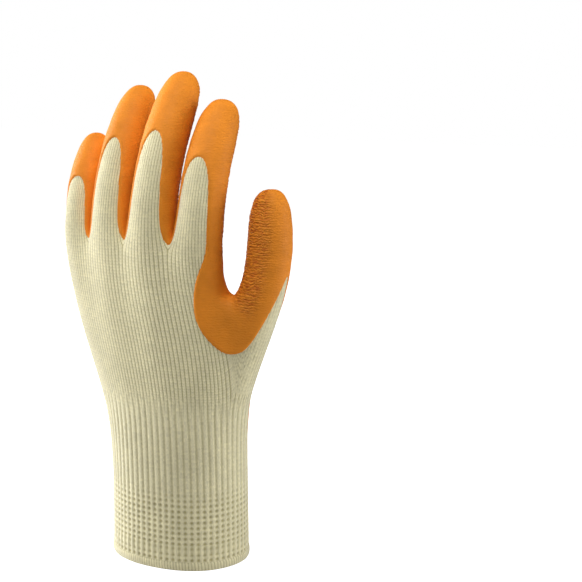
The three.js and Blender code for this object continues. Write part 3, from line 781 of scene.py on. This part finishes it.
ribbing = knitted_yarn("cream_elastic_rib", YARN_LIGHT, YARN_PAINTED_SHADE, YARN_UNEVEN)
here = knit.part == "cuff"
cuff = make_piece("cuff_ribbing", knit_points, knit.faces[here], ribbing, knit_normals, knit_stitches[here],
                  relief=knit_painted_shade)
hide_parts("rib_cuff")

# The inside of the liner. It is the purl side of the same cotton knit, one wall inside the skin, and shows
# through the mouth of the cuff, duller and more uneven than the outside.

CUFF_PANELS = 3 * HAND_COLUMNS
INSIDE_CELLS, INSIDE_CUFF_CELLS = (8, 8), (24, 12)
inside = Cloth(list(range(len(PANELS))), lambda n: INSIDE_CELLS if n > CUFF_PANELS else INSIDE_CUFF_CELLS,
               [THUMB_GIRTHS, *TUBE_TURNS])
inside_points = inside.points - inside.normals * LINER_WALL
# Its wall is smooth: the cuff's ribs are only painted on it, as stripes of painted shade round it.
painted_rib_shade = 0.5 + 0.5 * np.cos(2 * np.pi * rib_count(inside))
purl = knitted_yarn("cream_cotton_purl", "#eae3bf", "#a39b70", 0.14)
lining = make_piece("liner_inside", inside_points, inside.faces[:, ::-1], purl,
                    uv=np.stack(stitch_places(inside), 2)[:, ::-1], relief=inside.at_points(painted_rib_shade))

# The overlocked rim. Three cotton threads loop round the cut edge of the cuff and hold it from fraying: close
# slanting wraps over a soft roll.

HEM_WALL = 2.2
WRAPS_PER_COLUMN = 7
WRAP_RELIEF, WRAP_FULLNESS = 0.09, 0.7
# Below 1 the roll is squarer than a circle.
ROLL_POWER = 0.75
ROLL_POINTS = 22
STEPS_PER_COLUMN = 40


def rim_curve(count):
    """Points and directions of the skin half way up the hem, count of them to each panel."""
    points, normals = [], []
    for n in range(HAND_COLUMNS):
        grid = SKIN_GRIDS[n]
        half = grid.shape[1] // 2
        points.append((weights(count) @ SKIN[grid][:, half])[:-1])
        normals.append((weights(count) @ SKIN_NORMALS[grid][:, half])[:-1])
    normals = np.concatenate(normals) * (1, 1, 0)
    return np.concatenate(points), normals / np.linalg.norm(normals, axis=1)[:, None]


hem_line, hem_out = rim_curve(STEPS_PER_COLUMN)
turn = np.linspace(0, math.tau, ROLL_POINTS, endpoint=False)[None, :]
column = np.arange(len(hem_line))[:, None] / STEPS_PER_COLUMN
bulge_out = np.sign(np.cos(turn)) * np.abs(np.cos(turn)) ** ROLL_POWER
bulge_up = np.sign(np.sin(turn)) * np.abs(np.sin(turn)) ** ROLL_POWER
wrap = np.abs(np.sin(np.pi * (column * WRAPS_PER_COLUMN + turn / math.tau))) ** WRAP_FULLNESS
thread = 1 + WRAP_RELIEF * (wrap - 0.6)
middle = (hem_line - hem_out * (LINER_WALL / 2))[:, None, :]
hem_points = middle + hem_out[:, None, :] * (bulge_out * thread * HEM_WALL / 2)[..., None]
hem_points[..., 2] = HEM_HEIGHT / 2 + bulge_up * (HEM_HEIGHT / 2) * np.minimum(thread, 1.0)
hem_index = np.arange(hem_points.shape[0] * ROLL_POINTS).reshape(-1, ROLL_POINTS)
after, above = np.roll(hem_index, -1, 0), np.roll(hem_index, -1, 1)
hem_faces = np.stack([hem_index, after, np.roll(after, -1, 1), above], 2).reshape(-1, 4)
hem_uv = np.stack(np.broadcast_arrays(column * WRAPS_PER_COLUMN, turn), 2).reshape(-1, 2)
# The thread's colour follows the wraps' profile: painted shade darkens it between the wraps.
thread_material = knitted_yarn("cream_overlock_thread", YARN_LIGHT, "#c4b985", YARN_UNEVEN)
hem = make_piece("overlocked_rim", hem_points.reshape(-1, 3), hem_faces, thread_material,
                 uv=hem_uv[hem_faces.reshape(-1)], relief=(wrap + 0 * turn).reshape(-1))
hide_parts("cuff_hem")

# The grip. Natural rubber latex, dipped over the liner and crinkled while wet: smooth where it is thin on the
# fingertips' backs and the web, and a mass of fine worm-like wrinkles on the palm, pads and inner thumb.

COAT_LIFT = 0.75
# The coat rises to its full height over its edge's width, and beyond its line it dives into the knit.
EDGE_WIDTH, TUCK, TUCK_SLOPE = 1.4, 1.0, 1.2
# The wrinkles start a little inside the line. The skin also has slow waves.
CRINKLE_DEPTH, CRINKLE_START, CRINKLE_FULL = 0.42, 1.0, 6.0
WRINKLE_PITCH = 2.3
WAVE_DEPTH, WAVE_LENGTH = 0.2, 6
CALM_EDGE = 2.5
COAT_CELL = 0.64
# Panels whose every point is this far outside the line are left out.
BARE_DEPTH = -0.3
# The column in the middle of the wrinkles, and how many columns from it they begin to fade and are gone.
CRINKLE_REACH = {"hand": (14, 3.6, 4.6), "thumb": (4.8, 1.9, 2.8), "finger": (5, 1.2, 2.2)}
THUMB_CRINKLE_ROWS = (0.7, 1.3)


def coat_cells(n):
    """Cells along a panel's columns and its rows, in fours and each near COAT_CELL in size."""
    grid = SKIN[SKIN_GRIDS[n]]
    across = np.linalg.norm(np.diff(grid, axis=0), axis=2).sum(0).max()
    along = np.linalg.norm(np.diff(grid, axis=1), axis=2).sum(1).max()
    return 4 * max(2, round(across / COAT_CELL / 4)), 4 * max(2, round(along / COAT_CELL / 4))


def crinkled(part, column, row):
    """Share of the full crinkle at a place: the side away from the back of the hand."""
    kind = "hand" if part in ("cuff", "hand") else "thumb" if part == "thumb" else "finger"
    middle, fades, gone = CRINKLE_REACH[kind]
    if kind == "hand":
        return 1 - smooth_step(fades, gone, np.abs(column - middle))
    half = RING_COLUMNS // 2
    share = 1 - smooth_step(fades, gone, np.abs((column - middle + half) % RING_COLUMNS - half))
    return share * smooth_step(*THUMB_CRINKLE_ROWS, row) if kind == "thumb" else share


def crinkle_height(point):
    """Wrinkles of wet latex at a point, -0.5 to 0.5: short wandering ridges across the hand."""
    x, y, z = point
    sway = 1.1 * noise.noise(Vector((x / 4, y / 4, z / 4)))
    sway += 0.5 * noise.noise(Vector((x / 1.8, y / 1.8, z / 1.8)))
    length = 0.6 + noise.noise(Vector((x / 2.6, y / 2.6, z / 1.6 + 40)))
    return 0.5 * math.cos(math.tau * (z / WRINKLE_PITCH + sway)) * min(max(length, 0.15), 1)


def edge_distance(cloth, depth):
    """Distance in millimetres from the latex line at each point, above 0 inside the coat."""
    triangles = np.concatenate([cloth.faces[:, [0, 1, 2]], cloth.faces[:, [0, 2, 3]]])
    a, b, c = (cloth.points[triangles[:, i]] for i in range(3))
    square = np.cross(b - a, c - a)
    area = np.maximum((square ** 2).sum(1), 1e-9)
    d = depth[triangles]
    slope = (np.cross(square, c - b) * d[:, :1] + np.cross(square, a - c) * d[:, 1:2]
             + np.cross(square, b - a) * d[:, 2:]) / area[:, None]
    steep = np.linalg.norm(slope, axis=1)
    total = np.bincount(triangles.ravel(), np.repeat(steep, 3), len(cloth.points))
    count = np.bincount(triangles.ravel(), minlength=len(cloth.points))
    return depth / np.maximum(total / np.maximum(count, 1), 0.02)


coat = Cloth([n for n in range(len(PANELS)) if LATEX_DEPTH[SKIN_GRIDS[n]].max() > BARE_DEPTH], coat_cells,
             [LATEX_DEPTH])
inward = edge_distance(coat, coat.fields[:, 0])
crinkle_share = np.zeros(coat.places.shape[:2])
for part in np.unique(coat.part):
    here = coat.part == part
    crinkle_share[here] = crinkled(part, coat.places[here, :, 0], coat.places[here, :, 1])
crinkle_share = coat.at_points(crinkle_share) * smooth_step(CRINKLE_START, CRINKLE_FULL, inward)
lift = COAT_LIFT * np.sqrt(np.clip(1 - (1 - np.clip(inward / EDGE_WIDTH, -1, 1)) ** 2, 0, 1))
lift = np.where(inward < 0, inward * TUCK_SLOPE, lift)
wrinkle = np.array([crinkle_height(p) for p in coat.points])
wave = np.array([noise.noise(Vector(p) / WAVE_LENGTH) for p in coat.points])
relief = wrinkle * CRINKLE_DEPTH * mix(0.15, 1.0, crinkle_share) + wave * WAVE_DEPTH
lift += relief * smooth_step(0, CALM_EDGE, inward)
coat_points = coat.points + coat.normals * lift[:, None]
coat_kept = coat.faces[(inward[coat.faces] > -TUCK).any(1)]


def dipped_latex():
    """Natural rubber latex with an orange pigment, dipped: a satin skin, deeper and redder down in the
    wrinkles' valleys, which is painted shade, and lighter where it is smooth and thin. Its grain is 2 mm and
    its clouds 17 mm across, and its finest wrinkles are 1.3 mm apart."""
    material, tree = new_material("orange_crinkle_latex")
    relief = add_node(tree, "ShaderNodeAttribute", {"attribute_name": "relief"})
    spot = add_node(tree, "ShaderNodeTexCoord").outputs["Object"]
    cloud = add_node(tree, "ShaderNodeTexNoise", {"Scale": 60, "Detail": 4, "Roughness": 0.6}, Vector=spot)
    grain = add_node(tree, "ShaderNodeTexNoise", {"Scale": 520, "Detail": 5, "Roughness": 0.6}, Vector=spot)
    painted_valley_shade = add_node(tree, "ShaderNodeMapRange", {"From Min": 0.1, "From Max": 0.75},
                      Value=relief.outputs["Fac"])
    # The latex's own orange on the ridges and the smooth parts, and a painted shade of it down in the
    # wrinkles' valleys.
    colour = add_node(tree, "ShaderNodeMix", {
        "data_type": "RGBA", 6: to_linear("#b95312"), 7: to_linear("#ea8d28")}, i0=painted_valley_shade.outputs["Result"])
    shade = add_node(tree, "ShaderNodeMapRange", {**NOISE_RANGE, "To Min": 0.88, "To Max": 1.08},
                     Value=cloud.outputs["Fac"])
    tinted = add_node(tree, "ShaderNodeVectorMath", {"operation": "SCALE"},
                      i0=colour.outputs[2], Scale=shade.outputs["Result"])
    rough = add_node(tree, "ShaderNodeMapRange", {**NOISE_RANGE, "To Min": 0.5, "To Max": 0.68},
                     Value=grain.outputs["Fac"])
    mask = add_node(tree, "ShaderNodeAttribute", {"attribute_name": "crinkle"})
    worms = add_node(tree, "ShaderNodeTexWave", {
        "wave_type": "BANDS", "bands_direction": "Z", "wave_profile": "SIN", "Scale": 250, "Distortion": 7,
        "Detail": 2, "Detail Scale": 1.6, "Detail Roughness": 0.6}, Vector=spot)
    height = add_node(tree, "ShaderNodeMath", {"operation": "MULTIPLY"},
                      i0=worms.outputs["Fac"], i1=mask.outputs["Fac"])
    wrinkles = add_node(tree, "ShaderNodeBump", {"Strength": 0.9, "Distance": 0.00045},
                        Height=height.outputs["Value"])
    bump = add_node(tree, "ShaderNodeBump", {"Strength": 0.35, "Distance": 0.0003},
                    Height=grain.outputs["Fac"], Normal=wrinkles.outputs["Normal"])
    shader = add_node(tree, "ShaderNodeBsdfPrincipled", {"Specular IOR Level": 0.14, "IOR": 1.52},
                      Base_Color=tinted.outputs["Vector"], Roughness=rough.outputs["Result"],
                      Normal=bump.outputs["Normal"])
    add_node(tree, "ShaderNodeOutputMaterial", Surface=shader.outputs["BSDF"])
    return material


# Painted shade: this share is low down in the wrinkles' valleys, which darkens the colour there, and high on
# the ridges and the smooth latex.
wrinkle_painted_shade = np.clip(mix(0.75, 0.58 + 0.8 * wrinkle, crinkle_share), 0, 1)
grip = make_piece("latex_grip", coat_points, coat_kept, dipped_latex(), relief=wrinkle_painted_shade,
                  crinkle=mix(0.2, 1.0, crinkle_share))
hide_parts("latex_coat")

# The studio. A floor of frosted white acrylic, which is lit so that it looks pure white to the camera, and
# large soft boxes at both sides with a small one above, so that the front is the darkest. The camera is a
# little above the hand and to the thumb's side of its back.

bpy.context.scene.view_settings.view_transform = "Standard"

FLOOR_HALF = 4
floor_mesh = bpy.data.meshes.new("floor")
floor_corners = [(x * FLOOR_HALF, y * FLOOR_HALF, 0) for x, y in ((-1, -1), (1, -1), (1, 1), (-1, 1))]
floor_mesh.from_pydata(floor_corners, [], [(0, 1, 2, 3)])
acrylic, acrylic_tree = new_material("lit_white_acrylic")
acrylic_shader = add_node(acrylic_tree, "ShaderNodeBsdfPrincipled", {
    "Base Color": to_linear("#e7e7e7"), "Roughness": 0.9, "Specular IOR Level": 0.0,
    "Emission Color": to_linear("#ffffff")})
lit = add_node(acrylic_tree, "ShaderNodeLightPath")
acrylic_tree.links.new(lit.outputs["Is Camera Ray"], acrylic_shader.inputs["Emission Strength"])
add_node(acrylic_tree, "ShaderNodeOutputMaterial", Surface=acrylic_shader.outputs["BSDF"])
floor_mesh.materials.append(acrylic)
floor = bpy.data.objects.new("floor", floor_mesh)
bpy.context.scene.collection.objects.link(floor)

# The backdrop is white to the camera too, and lends the glove a little light from all round.
world = bpy.data.worlds.new("studio")
world.use_nodes = True
world_tree = world.node_tree
world_tree.nodes.clear()
seen = add_node(world_tree, "ShaderNodeLightPath")
level = add_node(world_tree, "ShaderNodeMapRange", {"To Min": 0.02}, Value=seen.outputs["Is Camera Ray"])
sky = add_node(world_tree, "ShaderNodeBackground", {"Color": to_linear("#ffffff")},
               Strength=level.outputs["Result"])
add_node(world_tree, "ShaderNodeOutputWorld", Surface=sky.outputs["Background"])
bpy.context.scene.world = world

GLOVE_MIDDLE = Vector((-0.0095, 0, 0.115))


def outward(azimuth, elevation):
    """Direction from the glove towards an azimuth and elevation in degrees."""
    a, e = math.radians(azimuth), math.radians(elevation)
    return Vector((math.sin(a) * math.cos(e), -math.cos(a) * math.cos(e), math.sin(e)))


def add_light(name, azimuth, elevation, distance, size, power):
    """A square soft box that faces the glove. Distance and size are in metres."""
    light = bpy.data.lights.new(name, "AREA")
    light.shape, light.size, light.energy = "SQUARE", size, power
    lamp = bpy.data.objects.new(name, light)
    out = outward(azimuth, elevation)
    lamp.location = GLOVE_MIDDLE + out * distance
    lamp.rotation_euler = out.to_track_quat("Z", "Y").to_euler()
    bpy.context.scene.collection.objects.link(lamp)


add_light("left_soft_box", -90, 12, 0.9, 0.75, 14)
add_light("right_soft_box", 110, 12, 0.9, 0.5, 4.5)
add_light("top_soft_box", 5, 72, 0.42, 0.35, 1.4)

# The camera is turned a few degrees past the cuff's axis, so that the glove is left of the frame's middle.
CAMERA_AZIMUTH, CAMERA_ELEVATION, CAMERA_DISTANCE = 28, 12, 0.6
TURNED_ASIDE, TURNED_UP, CAMERA_ROLL = 5.335, 1.928, 0.918
camera_data = bpy.data.cameras.new("camera")
camera_data.sensor_width, camera_data.lens = 36, 73.8
camera = bpy.data.objects.new("camera", camera_data)
camera.location = Vector((0, 0, 0.115)) + outward(CAMERA_AZIMUTH, CAMERA_ELEVATION) * CAMERA_DISTANCE
turned = outward(CAMERA_AZIMUTH - TURNED_ASIDE, CAMERA_ELEVATION - TURNED_UP).to_track_quat("Z", "Y")
camera.rotation_euler = (turned @ Quaternion((0, 0, 1), math.radians(CAMERA_ROLL))).to_euler()
bpy.context.scene.collection.objects.link(camera)
bpy.context.scene.camera = camera
